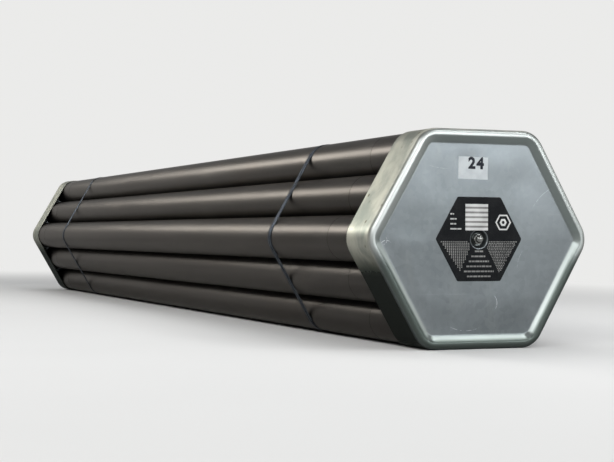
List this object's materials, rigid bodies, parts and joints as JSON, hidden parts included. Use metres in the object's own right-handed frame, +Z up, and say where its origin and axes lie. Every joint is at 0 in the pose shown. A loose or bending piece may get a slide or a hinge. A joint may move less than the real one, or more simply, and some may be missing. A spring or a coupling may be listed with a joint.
{
  "type": "bundle of steel pipes",
  "caption": "Hexagonal bundle of long steel drill pipes, closed at each end by a pressed galvanised cap, held by a through rod and flat straps.",
  "frame": {"origin": "on the floor, below the middle of the bundle", "axes": "+Y along the pipes from the front cap to the back cap, +Z up, X across the bundle"},
  "size_m": [0.452, 3.019, 0.4042],
  "materials": {
    "pipe_steel": "oiled dark mill steel, satin",
    "galvanised_sheet": "bright zinc-coated pressed sheet",
    "plated_fastener": "zinc plated",
    "strap_steel": "blue-black strapping steel",
    "label_film": "printed black film",
    "sticker_paper": "printed white sticker"
  },
  "bodies": {
    "root": {"pipe_01": "pipe_steel", "pipe_02": "pipe_steel", "pipe_03": "pipe_steel", "pipe_04": "pipe_steel", "pipe_05": "pipe_steel", "pipe_06": "pipe_steel", "pipe_07": "pipe_steel", "pipe_08": "pipe_steel", "pipe_09": "pipe_steel", "pipe_10": "pipe_steel", "pipe_11": "pipe_steel", "pipe_12": "pipe_steel", "pipe_13": "pipe_steel", "pipe_14": "pipe_steel", "pipe_15": "pipe_steel", "pipe_16": "pipe_steel", "pipe_17": "pipe_steel", "pipe_18": "pipe_steel", "pipe_19": "pipe_steel", "front_cap": "galvanised_sheet", "front_nut": "plated_fastener", "front_strap": "strap_steel", "front_strap_seal": "strap_steel", "back_cap": "galvanised_sheet", "back_nut": "plated_fastener", "back_strap": "strap_steel", "back_strap_seal": "strap_steel", "tie_rod": "plated_fastener"}
  },
  "joints": []
}
